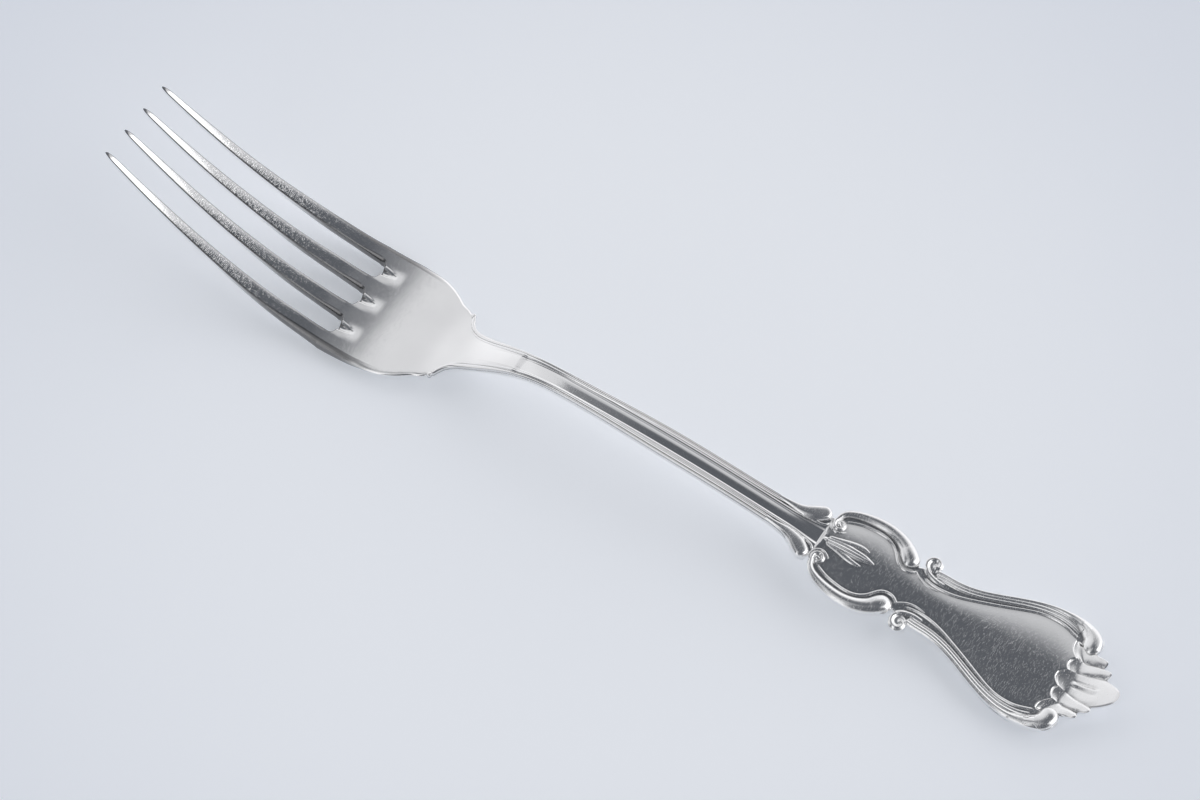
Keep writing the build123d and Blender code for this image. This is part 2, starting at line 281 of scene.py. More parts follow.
# Half-widths of the handle's fan, and of the foot, stem, neck and palm
fan_line = smooth_curve([
    (7, 9.6), (8.2, 10.6), (9.6, 11.3), (12, 11.9), (15, 12.0), (20, 11.1), (25, 9.2), (30, 7.2), (34.5, 6.3),
    (37.5, 6.2), (39.6, 5.8), (NOTCH, 4.95),
])
stem_line = smooth_curve([
    (FOOT, 4.94), (59.2, 4.15), (61, 4.3), (STEM, 4.15), (64.5, 3.5), (66, 3.15), (70, 2.9), (92, 2.8),
    (VEE, 2.75), (128, 3.4), (131.5, 3.95), (134.3, 5.0), (136, 6.7), (SHOULDER, 7.9), (139, 8.9),
    (141, 10.1), (143, 11.15), (145.5, 12.0), (148.5, 12.35), (151, PALM_HALF_WIDTH), (ROOT, PALM_HALF_WIDTH),
])
# The front face is a cushion: its half-width inside the borders, and its rise as a share of that
cushion_line = smooth_curve([
    (7, 7), (12.4, 8.0), (14.6, 8.7), (16.5, 8.9), (19.3, 8.6), (22.6, 7.4), (26.3, 5.8), (30, 4.3),
    (33.1, 3.2), (35.8, 2.7), (37.8, 2.7), (40, 3.1), (43, 3.9), (46, 5.2), (48, 6.0), (51, 6.4), (53, 6.1),
    (55, 5.4), (FOOT, 4.0), (STEM, 3.6), (70, 2.95), (92, 2.8), (VEE, 2.75), (128, 3.4), (134.3, 5.0),
    (SHOULDER, 7.9), (143, 11.15), (148.5, 12.35), (ROOT, PALM_HALF_WIDTH),
])
cushion_rise = smooth_curve([
    (7, 0.06), (30, 0.06), (50, 0.06), (56, 0.06), (FOOT, 0.045), (STEM, 0.02), (80, 0.1), (VEE, 0.12),
    (SHOULDER, 0.03), (ROOT, 0.012),
])


def outline(s):
    """Half-width of the fork in plan."""
    s = np.asarray(s, float)
    bow = np.sqrt(np.maximum(CROWN_RADIUS**2 - (s - CROWN_CENTRE) ** 2, 0)) - CROWN_DROP
    return np.where(s < NOTCH, fan_line(s), np.where(s < FOOT, bow, stem_line(s)))


def back_face(s):
    """Height of the back face, worn flat where it meets the table."""
    return np.maximum(back_line(s), 0)


def underside(s, y):
    """Height of the back at a plan point: full along the middle, thin at the edges of the handle and stem."""
    edge = EDGE_THICKNESS + (STEM_EDGE_THICKNESS - EDGE_THICKNESS) * ease(s, STEM, STEM + STEM_EDGE_RUN)
    spare = np.maximum(front_line(s) - back_face(s) - edge, 0) * (1 - ease(s, *BACK_EVENS))
    return back_face(s) + spare * np.minimum(np.abs(y) / outline(s), 1.1) ** BACK_FULLNESS


def rib_half(s):
    """Half-width of the stem's rib, which flares where it meets the foot."""
    return RIB_HALF_WIDTH + RIB_FLARE * (1 - ease(s, FOOT, FOOT + RIB_FLARE_LENGTH))


def plain_face(s, y):
    """Height of the front face under its ornament, with its swell and the sunk rib along the stem."""
    half = cushion_line(s)
    swell = cushion_rise(s) * half * np.maximum(1 - (y / half) ** 2, 0)
    on_rib = ease(s, *RIB_STARTS) * (1 - ease(s, *RIB_STOPS))
    across = np.abs(y) / rib_half(s)
    crown = RIB_RISE * ease(s, *RIB_CROWNS) * np.maximum(1 - across**2, 0)
    sunk = RIB_SINK * (1 - ease(across, *RIB_SIDE)) - crown
    return front_line(s) + swell * (1 - on_rib) - sunk * on_rib


def dome(across):
    """Round top of a bead."""
    return np.sqrt(np.maximum(1 - across**2, 0))


def flat_dome(across):
    """Broad top of a lobe, rounded at its sides."""
    return np.sqrt(np.maximum(1 - across**4, 0))


def edge_run(low, high, inset, count):
    """Plan points along the fork's left edge, a distance inside it."""
    s = np.linspace(low, high, count)
    return np.stack([s, outline(s) - inset], axis=1)


def rib_run(low, high, outset, count):
    """Plan points beside the rib's left side."""
    s = np.linspace(low, high, count)
    return np.stack([s, rib_half(s) + outset], axis=1)


# Strands of the ornament on the left side, as rows of station, side, half-width and height
C_RIDGE = smooth_path([
    (58.05, 4.75, 0.5, 0.4), (57.5, 6.05, 0.6, 0.5), (56, 7.15, 0.75, 0.6), (53, 8.05, 0.95, 0.68),
    (50, 8.3, 1.08, 0.74), (47.3, 7.82, 1.25, 0.82), (45.3, 6.85, 1.45, 0.92), (44.2, 5.95, 1.6, 1.0),
], 130)
C_THREAD = smooth_path([
    (56.3, 5.15, 0.2, 0.2), (54.5, 5.95, 0.26, 0.27), (52, 6.45, 0.27, 0.3), (50, 6.58, 0.28, 0.3),
    (47.9, 6.1, 0.28, 0.3), (46.4, 5.0, 0.27, 0.3), (45.5, 3.85, 0.26, 0.28), (44.7, 3.1, 0.25, 0.26),
    (43.5, 2.75, 0.25, 0.26), (42.3, 3.0, 0.25, 0.25), (41.5, 3.6, 0.22, 0.2),
], 200)
C_BULB = smooth_path([(44.6, 6.3, 1.6, 1.0), (43.9, 5.6, 1.7, 1.06), (43.5, 5.2, 1.68, 1.02)], 20)
C_CURL = smooth_path([
    (58.1, 4.6, 0.45, 0.4), (58.15, 3.8, 0.4, 0.42), (57.75, 3.1, 0.36, 0.42), (57.0, 2.95, 0.33, 0.4),
    (56.4, 3.45, 0.3, 0.38), (56.45, 4.15, 0.28, 0.36), (57.0, 4.5, 0.26, 0.36), (57.5, 4.2, 0.25, 0.36),
    (57.42, 3.78, 0.27, 0.4), (57.15, 3.78, 0.3, 0.46),
], 130)
C_COLLAR = smooth_path([
    (58.75, 4.4, 0.2, 0.2), (58.65, 3.3, 0.22, 0.24), (58.0, 2.5, 0.22, 0.24), (57.1, 2.25, 0.22, 0.24),
    (56.2, 2.55, 0.2, 0.2), (55.5, 3.1, 0.14, 0.08),
], 70)
LOBE = smooth_path([
    (60.45, 4.3, 1.4, 0.72), (61.4, 3.65, 1.48, 0.74), (62.9, 2.95, 1.22, 0.66), (64.2, 2.6, 0.95, 0.56),
    (66, 2.5, 0.62, 0.46), (68.5, 2.42, 0.42, 0.4),
], 90)
FOOT_REED = smooth_path([
    (63.4, 1.76, 0.25, 0.28), (61.5, 1.98, 0.25, 0.28), (60, 2.2, 0.24, 0.26), (59.2, 2.6, 0.22, 0.24),
    (58.95, 3.0, 0.2, 0.2),
], 60)
BRACKET = smooth_path([(58.3, -1.75, 0.16, 0.22), (58.15, 0, 0.2, 0.26), (58.3, 1.75, 0.16, 0.22)], 40)
S_CURL = smooth_path([
    (36.2, 4.1, 0.34, 0.12), (37.6, 4.05, 0.46, 0.26), (39, 4.35, 0.52, 0.38), (40.35, 5.2, 0.54, 0.44),
    (40.8, 6.4, 0.5, 0.47), (40.35, 7.4, 0.46, 0.47), (39.4, 7.75, 0.42, 0.45), (38.6, 7.25, 0.38, 0.45),
    (38.55, 6.55, 0.34, 0.45), (39.1, 6.3, 0.36, 0.5),
], 150)
S_EAR = smooth_path([(39.5, 6.68, 1.6, 0.12), (39.6, 6.7, 1.6, 0.12)], 4)
S_TAIL = smooth_path([
    (36.4, 2.5, 0.12, 0.06), (38.4, 2.3, 0.17, 0.16), (40.3, 2.8, 0.18, 0.18), (41.5, 3.6, 0.2, 0.2),
], 60)
END_HOOK = smooth_path([
    (14.6, 11.4, 0.7, 0.48), (12.6, 11.05, 1.0, 0.62), (10.6, 10.25, 1.4, 0.82), (9.2, 9.1, 1.65, 0.98),
    (8.9, 7.9, 1.7, 1.02),
], 70)


def fan_strand(low, high, insets, widths, heights):
    """Strand along the fan's edge, each of its sizes through knots of (station, size)."""
    s = np.linspace(low, high, 160)
    sizes = [smooth_curve(knots)(s) for knots in (insets, widths, heights)]
    return np.stack([s, fan_line(s) - sizes[0], sizes[1], sizes[2]], axis=1)


S_RIDGE = fan_strand(
    38.2, 12.2, [(12, 1.0), (15, 0.62), (20, 0.45), (38.4, 0.42)],
    [(12, 0.9), (15, 0.6), (20, 0.42), (38.4, 0.4)],
    [(12, 0.6), (15, 0.48), (20, 0.4), (38.4, 0.36)],
)
S_REED = fan_strand(
    38.0, 11.8, [(12, 2.1), (15, 1.5), (20, 1.12), (38.4, 1.05)], [(12, 0.34), (20, 0.32), (38.4, 0.27)],
    [(11.8, 0.05), (14, 0.2), (17, 0.32), (22, 0.34), (38.4, 0.3)],
)
S_FINE_REED = fan_strand(
    37.8, 12.0, [(12, 2.75), (15, 2.1), (20, 1.7), (38.4, 1.55)], [(12, 0.28), (20, 0.28), (38.4, 0.22)],
    [(11.8, 0.04), (14, 0.16), (17, 0.26), (22, 0.27), (38.4, 0.24)],
)
thread_run = np.linspace(39.4, 12.0, 160)
S_THREAD = np.stack([
    thread_run, cushion_line(thread_run) + 0.34, np.full(160, 0.25), np.full(160, 0.28),
], axis=1)
ROUND_STRANDS = (
    C_RIDGE, C_THREAD, C_BULB, C_CURL, C_COLLAR, FOOT_REED, S_CURL, S_TAIL, END_HOOK, S_RIDGE, S_REED,
    S_FINE_REED, S_THREAD,
)
BROAD_STRANDS = (LOBE, S_EAR)

# The leaf hangs a little off the middle
LEAF_BLADE = smooth_path([
    (57.6, -0.05, 0.45, 0.2), (55.5, -0.2, 0.78, 0.25), (53, -0.3, 0.98, 0.28), (50.8, -0.4, 0.85, 0.26),
    (49.2, -0.45, 0.45, 0.2), (48.3, -0.45, 0.1, 0.1),
], 90)
LEAF_VEINS = [
    smooth_path([
        (57.4, 0.2 * side, 0.12, 0.15), (54, 0.32 * side - 0.25, 0.14, 0.17),
        (50, 0.2 * side - 0.4, 0.1, 0.1),
    ], 70)
    for side in (-1, 1)
]
LEAF_FOLDS = [
    smooth_path([
        (57.2, 0.75 * side - 0.1, 0.25, 0.16), (54.6, 1.15 * side - 0.25, 0.48, 0.22),
        (52.4, 1.6 * side - 0.35, 0.5, 0.22), (50.8, 1.7 * side - 0.4, 0.3, 0.17),
        (50.1, 1.6 * side - 0.4, 0.1, 0.1),
    ], 70)
    for side in (-1, 1)
]

relief_s = np.arange(0, RELIEF_END + RELIEF_STEP, RELIEF_STEP)
relief_y = np.arange(-RELIEF_SIDE, RELIEF_SIDE + RELIEF_STEP, RELIEF_STEP)


def press(grid, strand, top):
    """Raise a strand on a relief grid, leaving whatever already stands higher."""
    for a, b, width, rise in strand:
        rows = slice(*np.searchsorted(relief_s, (a - width, a + width)))
        columns = slice(*np.searchsorted(relief_y, (b - width, b + width)))
        away = np.hypot(relief_s[rows, None] - a, relief_y[None, columns] - b) / width
        grid[rows, columns] = np.maximum(grid[rows, columns], rise * top(away))


def soften(grid, radius):
    """The grid, smoothed over a radius in millimetres."""
    reach = int(math.ceil(3 * radius / RELIEF_STEP))
    weights = np.exp(-0.5 * (np.arange(-reach, reach + 1) * RELIEF_STEP / radius) ** 2)
    weights /= weights.sum()
    for axis in (0, 1):
        grid = sum(w * np.roll(grid, k, axis) for w, k in zip(weights, range(-reach, reach + 1)))
    return grid


def struck_relief():
    """Heights of the ornament over the plain face, and how far each point lies in a hollow of it."""
    raised = np.zeros((len(relief_s), len(relief_y)))
    for strands, top in ((ROUND_STRANDS, dome), (BROAD_STRANDS, flat_dome)):
        for strand in strands:
            press(raised, strand, top)
            press(raised, strand * (1, -1, 1, 1), top)
    press(raised, BRACKET, dome)
    for strand in [LEAF_BLADE] + LEAF_FOLDS:
        press(raised, strand, flat_dome)
    veins = np.zeros_like(raised)
    for strand in LEAF_VEINS:
        press(veins, strand, dome)
    raised = soften(raised - veins, RELIEF_SOFTNESS)
    hollow = np.clip((soften(raised, HOLLOW_REACH) - raised) / HOLLOW_DEPTH, 0, 1)
    inside = outline(relief_s)[:, None] - np.abs(relief_y)[None, :]
    return raised, hollow * ease(inside, OPEN_EDGE, 2 * OPEN_EDGE)


relief, hollow = struck_relief()


def bed_of(grid):
    """The relief drawn in by a margin, so that the body lies under the pieces that carry the ornament."""
    for axis in (0, 1):
        grid = np.minimum.reduce([np.roll(grid, k, axis) for k in range(-BED_MARGIN, BED_MARGIN + 1)])
    return grid


bed = bed_of(relief)


def on_grid(grid, s, y):
    """Value of a relief grid at plan points."""
    row = np.clip(np.asarray(s, float) / RELIEF_STEP, 0, len(relief_s) - 1.001)
    column = np.clip((np.asarray(y, float) + RELIEF_SIDE) / RELIEF_STEP, 0, len(relief_y) - 1.001)
    i, j = row.astype(int), column.astype(int)
    a, b = row - i, column - j
    near = grid[i, j] * (1 - b) + grid[i, j + 1] * b
    far = grid[i + 1, j] * (1 - b) + grid[i + 1, j + 1] * b
    value = near * (1 - a) + far * a
    return np.where(np.asarray(s) < RELIEF_END - 1, value, 0)


def front_face(s, y):
    """Height of the front face with its ornament."""
    return plain_face(s, y) + on_grid(relief, s, y)


def rim(edge, outward, top, bottom, radius, fullness=2.6, count=8):
    """Points of a rounded rim, from the top edge of a plate round to its bottom edge."""
    turn = np.pi * np.arange(1, count + 1) / (count + 1)
    out = radius * np.abs(np.sin(turn)) ** (2 / fullness)
    lift = np.sign(np.cos(turn)) * np.abs(np.cos(turn)) ** (2 / fullness)
    middle, half = (top + bottom) / 2, (top - bottom) / 2
    return [
        (edge[0] + outward[0] * o, edge[1] + outward[1] * o, middle + half * k)
        for o, k in zip(out, lift)
    ]


def tube(rings, tarnish_and_shade=None):
    """Closed shell through rings of points, one for each station, with the tarnish and painted shade at each
    point.
    """
    rings = np.asarray(rings, float)
    rows, sides = rings.shape[:2]
    faces = []
    for i in range(rows - 1):
        for j in range(sides):
            k = (j + 1) % sides
            faces.append((i * sides + j, i * sides + k, (i + 1) * sides + k, (i + 1) * sides + j))
    last = (rows - 1) * sides
    caps = [tuple(range(sides)), tuple(range(last, last + sides))]
    tarnish_and_shade = np.zeros(rows * sides) if tarnish_and_shade is None else np.asarray(tarnish_and_shade, float).reshape(-1)
    return rings.reshape(-1, 3), faces, caps, tarnish_and_shade


def make_piece(name, shells, finish):
    """One piece from closed shells, smooth but for its flat cuts, standing for the node of its name."""
    mesh = bpy.data.meshes.new(f"{name}_skin")
    work = bmesh.new()
    # Darkness at each corner: tarnish and painted shade
    depth = work.verts.layers.float.new("tarnish_and_shade")
    for points, faces, caps, tarnish_and_shade in shells:
        corners = [work.verts.new(((p[0] - HALF_LENGTH) * MM, p[1] * MM, p[2] * MM)) for p in points]
        for corner, dark in zip(corners, tarnish_and_shade):
            corner[depth] = dark
        for face in faces:
            work.faces.new([corners[i] for i in face]).smooth = True
        for cap in caps:
            cut = work.faces.new([corners[i] for i in cap])
            for edge in cut.edges:
                edge.smooth = False
    bmesh.ops.recalc_face_normals(work, faces=work.faces[:])
    work.to_mesh(mesh)
    work.free()
    mesh.materials.append(finish)
    piece = bpy.data.objects.new(f"{name}_skin", mesh)
    bpy.context.scene.collection.objects.link(piece)
    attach(piece, "root")
    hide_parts(name)


def mirrored(shells):
    """The same shells on the fork's right side."""
    return [(np.array(points) * (1, -1, 1), faces, caps, tarnish_and_shade) for points, faces, caps, tarnish_and_shade in shells]


def body_shell(low, high, step, lanes, edge_radius):
    """Handle, foot, stem or neck between two stations: a ring of front, rims and back at each."""
    rows = np.linspace(low, high, max(2, int(round((high - low) / step)) + 1))
    rings, tarnish_and_shade_values = [], []
    for s in rows:
        width = float(outline(s))
        radius = min(edge_radius, 0.15 * width)
        y = lanes(s, width - radius)
        top = plain_face(s, y) + on_grid(bed, s, y)
        if s < OUTER_GROOVE[0][0] + 1:
            top = top - shell_bed(s, y)
        under = y[::5]
        bottom = underside(s, under)
        ring = [(s, a, b) for a, b in zip(y, top)]
        left = rim((s, y[-1]), (0, 1), top[-1], bottom[-1], radius)
        right = rim((s, y[0]), (0, -1), top[0], bottom[0], radius)
        rings.append(ring + left + [(s, a, b) for a, b in zip(under[::-1], bottom[::-1])] + right[::-1])
        dark = np.zeros(len(rings[-1]))
        # Tarnish and painted shade in the relief's hollows and in the grooves beside the rib; the grooves
        # partly clear along the stem and fade out through the neck
        beside_rib = ease(np.abs(y) - rib_half(s), 0, 0.05) * ease(s, STEM, STEM + 3)
        beside_rib = beside_rib * (1 - GROOVE_CLEARED * ease(s, *GROOVE_CLEARS))
        beside_rib = beside_rib * (1 - ease(s, VEE, SHOULDER - 6))
        dark[:len(y)] = np.maximum(HOLLOW_TARNISH_AND_SHADE * on_grid(hollow, s, y), GROOVE_TARNISH_AND_SHADE * beside_rib)
        tarnish_and_shade_values.append(dark)
    return tube(rings, tarnish_and_shade_values)


def shell_bed(s, y):
    """How far the handle's face drops under the shell, inside the scalloped line."""
    side = np.abs(y)
    cusp, aside = CENTRE_GROOVE[0]
    arcs = (
        ((cusp, -aside), CENTRE_GROOVE[0], CENTRE_BULGE),
        (CENTRE_GROOVE[0], MIDDLE_GROOVE[0], INNER_BULGE),
        (MIDDLE_GROOVE[0], OUTER_GROOVE[0], OUTER_BULGE),
    )
    line = np.zeros_like(side)
    for (low, start), (high, end), bulge in arcs[::-1]:
        v = np.clip(2 * (side - start) / (end - start) - 1, -1, 1)
        line = np.where(side < end, low + (high - low) * (v + 1) / 2 + bulge * (1 - v**2), line)
    inside = 1 - ease(s, line - SHELL_BED_STEP[0], line - SHELL_BED_STEP[1])
    return SHELL_BED * inside * (1 - ease(side, *SHELL_BED_SIDE))


def even_lanes(s, edge):
    """Lanes spread evenly across the handle."""
    return np.linspace(-edge, edge, 141)


def rib_lanes(s, edge):
    """Lanes that follow the two sides of the rib."""
    middle = min(1.05 * float(rib_half(s)), edge - 0.3)
    flank = np.linspace(middle, edge, 16)[1:]
    crest = middle * np.sin(np.linspace(-1, 1, 31) * np.pi / 2)
    return np.concatenate([-flank[::-1], crest, flank])


def slot_notch(s, y, centre):
    """Depth of the soft dip around a slot's end, and of the pointed valley in it."""
    reach = np.clip((s - (ROOT - SLOT_DEPTH - NOTCH_LENGTH)) / NOTCH_LENGTH, 0, 1.2)
    half = NOTCH_HALF_WIDTH * np.sqrt(reach)
    away = y - centre
    valley = NOTCH_SLOPE * np.maximum(half - np.abs(away), 0)
    dip = NOTCH_DIP * ease(s, *NOTCH_DIP_RUN) * np.maximum(1 - (away / NOTCH_SWEEP) ** 2, 0) ** 2
    burr = np.exp(-(((away + half + NOTCH_BURR_GAP) / NOTCH_BURR_WIDTH) ** 2))
    burr = NOTCH_BURR * ease(reach, 0.1, 0.5) * burr
    return valley + dip - burr


def palm_front(s, y):
    """Front face of the palm, with the notches at the ends of the slots."""
    height = front_face(s, y)
    for centre in (-SLOT_PITCH, 0, SLOT_PITCH):
        height = height - slot_notch(s, y, centre)
    return height


def palm_shell():
    """Palm with the round ends of the three slots and the stubs of the four tines."""
    centres = (-SLOT_PITCH, 0.0, SLOT_PITCH)
    outer = PALM_HALF_WIDTH - EDGE_RADIUS
    turn = np.linspace(-np.pi / 2, np.pi / 2, 49)
    softness = SLOT_END_ROUND + (SLOT_ROUND - SLOT_END_ROUND) * np.abs(np.sin(turn)) ** 3
    reach = SLOT_RADIUS + softness
    lanes, ends, slot_spans, stub_spans = [], [], [], []
    edges = [-outer] + [c + side * reach[0] for c in centres for side in (-1, 1)] + [outer]
    for k in range(4):
        first = len(lanes)
        lanes += list(np.linspace(edges[2 * k], edges[2 * k + 1], 9))
        ends += [float(ROOT)] * 9
        stub_spans.append((first, len(lanes) - 1))
        if k < 3:
            round_corner = np.sign(turn) * np.abs(np.sin(turn)) ** SLOT_SQUARE
            lanes += list(centres[k] + (reach * round_corner)[1:-1])
            ends += list(ROOT - ((SLOT_DEPTH + softness) * np.cos(turn) ** SLOT_SQUARE)[1:-1])
            slot_spans.append((stub_spans[-1][1], len(lanes)))
    lanes, ends = np.array(lanes), np.array(ends)
    share = np.linspace(0, 1, 71)
    share = 1 - (1 - share) ** 1.5
    points, tarnish_and_shade_values, faces, caps = [], [], [], []

    def put(point, tarnish_and_shade=0.0):
        points.append(point)
        tarnish_and_shade_values.append(tarnish_and_shade)
        return len(points) - 1

    s_grid = SHOULDER + share[:, None] * (ends[None, :] - SHOULDER)
    width_share = (outline(s_grid) - EDGE_RADIUS) / outer
    blend = ease(s_grid, *PALM_TAPER)
    y_grid = lanes[None, :] * (width_share * (1 - blend) + blend)
    top_grid = palm_front(s_grid, y_grid)
    bottom_grid = underside(s_grid, y_grid)
    rows, columns = s_grid.shape

    def lay(height):
        return [
            [put((s_grid[i, j], y_grid[i, j], height[i, j])) for j in range(columns)]
            for i in range(rows)
        ]

    top = lay(top_grid)
    bottom = lay(bottom_grid)
    for grid in (top, bottom):
        for i in range(rows - 1):
            for j in range(columns - 1):
                faces.append((grid[i][j], grid[i][j + 1], grid[i + 1][j + 1], grid[i + 1][j]))

    def rim_at(i, j, outward, radius, fullness):
        edge = (s_grid[i, j], y_grid[i, j])
        middle = rim(edge, outward, top_grid[i, j], bottom_grid[i, j], radius, fullness)
        # Painted shade, standing for dark reflections, on the top edge and down the rim, fading in towards
        # the tines
        depth = float(ease(edge[0], *PALM_RIM_SHADE_RUN))
        tarnish_and_shade_values[top[i][j]] = EDGE_PAINTED_SHADE * depth
        return [top[i][j]] + [put(p, k * depth) for p, k in zip(middle, RIM_PAINTED_SHADE)] + [bottom[i][j]]

    def strip(ribs):
        for one, two in zip(ribs, ribs[1:]):
            for k in range(len(one) - 1):
                faces.append((one[k], one[k + 1], two[k + 1], two[k]))

    sides = {}
    starts = []
    for j, outward in ((0, (0, -1)), (columns - 1, (0, 1))):
        ribs = [rim_at(i, j, outward, EDGE_RADIUS, OPEN_FULLNESS) for i in range(rows)]
        strip(ribs)
        sides[j] = ribs[-1]
        starts.append(ribs[0])
    for first, last in slot_spans:
        ribs = []
        for j in range(first, last + 1):
            k = j - first
            outward = (math.cos(turn[k]), -math.sin(turn[k]))
            ribs.append(rim_at(rows - 1, j, outward, softness[k], SLOT_FULLNESS))
        strip(ribs)
        sides[first], sides[last] = ribs[0], ribs[-1]
    for first, last in stub_spans:
        face = [top[-1][j] for j in range(first, last + 1)] + sides[last][1:-1]
        face += [bottom[-1][j] for j in range(last, first - 1, -1)] + sides[first][-2:0:-1]
        caps.append(tuple(face))
    right, left = starts
    face = list(top[0]) + left[1:-1] + bottom[0][::-1] + right[-2:0:-1]
    caps.append(tuple(face))
    return points, faces, caps, np.array(tarnish_and_shade_values)


def tine_side(edge, outward, top, bottom, rounding, undercut):
    """Points down the side of a tine: a small rounding, then a wall that draws in towards the back."""
    turn = np.linspace(0, np.pi / 2, 5)[1:]
    crest = TINE_CREST * (top - bottom)
    wall = (1 - TINE_CREST) * (top - bottom)
    upper = [(rounding * math.sin(k), top - crest * (1 - math.cos(k))) for k in turn]
    lower = [(rounding - undercut * (1 - math.cos(k)), top - crest - wall * math.sin(k)) for k in turn]
    return [(edge[0], edge[1] + outward * out, height) for out, height in upper + lower]


def tine_shell(root_low, root_high, middle_line, half_line):
    """One tine from its root to its tip, between two sides at the root."""
    root_half = (root_high - root_low) / 2
    share = np.linspace(0, 1, 111) ** 0.9
    rings, tarnish_and_shade_values = [], []
    for u in share:
        s = ROOT + (TIP - ROOT) * u
        point = math.sqrt(1 - min(1, max(0, (u - TIP_START) / TIP_ROUND)) ** 2)
        half = float(half_line(s)) * (TIP_BLUNT + (1 - TIP_BLUNT) * point)
        centre = float(middle_line(s)) * (1 if root_low + root_high > 0 else -1)
        slope = float(front_line(s + 0.1) - front_line(s - 0.1)) / 0.2
        thick = TINE_ROOT_THICKNESS + (TIP_THICKNESS - TINE_ROOT_THICKNESS) * u**TINE_TAPER
        thick *= math.hypot(1, slope) * (TIP_THIN + (1 - TIP_THIN) * point)
        drop = 0.5 * TIP_THICKNESS * (1 - point)
        blend = 1 - float(ease(u, 0, ROOT_BLEND))
        sides = []
        for outward, open_side in ((-1, root_high < -SLOT_PITCH), (1, root_low > SLOT_PITCH)):
            fade = 1 - float(ease(u, 0, OPEN_ROUND_RUN if open_side else SLOT_ROUND_RUN))
            first = EDGE_RADIUS if open_side else SLOT_ROUND
            rounding = first * fade * half / root_half
            rounding += min(TINE_EDGE, TINE_EDGE_SHARE * half) * (1 - fade)
            sides.append((outward, rounding, fade, OPEN_FULLNESS if open_side else SLOT_FULLNESS))
        y = np.linspace(centre - half + sides[0][1], centre + half - sides[1][1], 9)
        swell = TINE_SWELL * half * ease(u, 0, 0.2) * (1 - ((y - centre) / half) ** 2)
        top = front_line(s) - drop + swell + blend * (palm_front(ROOT, y) - front_line(ROOT))
        bottom = np.full_like(y, max(float(front_line(s)) - drop - thick, 0))
        walls = []
        for (outward, rounding, fade, fullness), k in zip(sides, (0, -1)):
            edge = (s, y[k])
            soft = np.array(rim(edge, (0, outward), top[k], bottom[k], rounding, fullness))
            crisp = np.array(tine_side(edge, outward, top[k], bottom[k], rounding, TINE_UNDERCUT * half))
            walls.append(soft * fade + crisp * (1 - fade))
        under = np.linspace(walls[0][-1, 1], walls[1][-1, 1], 9)
        under = under * (1 - blend) + y * blend
        ring = [(s, a, b) for a, b in zip(y, top)] + [tuple(p) for p in walls[1]]
        ring += [(s, a, b) for a, b in zip(under[::-1], bottom[::-1])] + [tuple(p) for p in walls[0][::-1]]
        rings.append(ring)
        # Painted shade, standing for dark reflections, along the tine's top edges and down its walls; the
        # lower part of each wall clears towards the tip
        face = [EDGE_PAINTED_SHADE] + [0.0] * 7 + [EDGE_PAINTED_SHADE]
        clear = float(ease(u, *WALL_CLEARS))
        wall = list(RIM_PAINTED_SHADE[:2]) + [dark * (1 - clear) for dark in RIM_PAINTED_SHADE[2:]]
        tarnish_and_shade_values.append(face + wall + [0.0] * 9 + wall[::-1])
    return tube(rings, tarnish_and_shade_values)


def round_ends(count, first, last):
    """Widths that round off the two ends of a bead, over these shares of its length."""
    t = np.linspace(0, 1, count)
    start = np.sqrt(np.clip(1 - np.clip(1 - t / first, 0, 1) ** 2, 0, 1)) if first else np.ones(count)
    end = np.sqrt(np.clip(1 - np.clip(1 - (1 - t) / last, 0, 1) ** 2, 0, 1)) if last else np.ones(count)
    return np.maximum(start * end, 0.02)


def bead(path, half_width, height=None, depth=0.5, lanes=13, edge_tarnish_and_shade=0.1, lift=PIECE_LIFT):
    """Raised bead along a plan path, sunk into the front face by its depth, or down to the back.

    Without a height of its own, its top is the struck relief of the handle."""
    path = np.asarray(path, float)
    half_width = np.broadcast_to(half_width, len(path))
    heading = np.gradient(path, axis=0)
    heading /= np.linalg.norm(heading, axis=1)[:, None]
    aside = np.stack([-heading[:, 1], heading[:, 0]], axis=1)
    across = np.sin(np.linspace(-np.pi / 2, np.pi / 2, lanes))
    rings, tarnish_and_shade_values = [], []
    for i, middle in enumerate(path):
        plan = middle + aside[i] * (half_width[i] * across)[:, None]
        base = plain_face(plan[:, 0], plan[:, 1])
        # Darkening: tarnish and painted shade from the relief's hollows, or along the bead's edges
        if height is None:
            crest = front_face(plan[:, 0], plan[:, 1]) + lift
            dark = HOLLOW_TARNISH_AND_SHADE * on_grid(hollow, plan[:, 0], plan[:, 1])
        else:
            crest = base + np.broadcast_to(height, len(path))[i] * dome(across)
            dark = np.broadcast_to(edge_tarnish_and_shade, len(path))[i] * ease(np.abs(across), 0.8, 1)
        ring = [(p[0], p[1], z) for p, z in zip(plan, crest)]
        full = min(base[0], base[-1]) - (depth or 0)
        drop = 0 if depth else EDGE_THICKNESS
        flank = ((1.0, 1.0),) if depth else OPEN_FLANK
        for share, level in flank:
            ring.append((*(middle + (plan[-1] - middle) * share), full - drop * level))
        for share, level in flank[::-1]:
            ring.append((*(middle + (plan[0] - middle) * share), full - drop * level))
        rings.append(ring)
        tarnish_and_shade_values.append(np.concatenate([dark, np.zeros(len(ring) - lanes)]))
    return tube(rings, tarnish_and_shade_values)


def boss(centre, along, across, turn=0.0, depth=None):
    """Rounded patch of the struck relief, down to the back."""
    t = np.cos(np.linspace(np.pi, 0, 33))
    heading = np.array([math.cos(turn), math.sin(turn)])
    path = np.array(centre) + heading * (along * t)[:, None]
    return bead(path, across * np.maximum(np.sqrt(1 - t**2), 0.02), None, depth, 33)


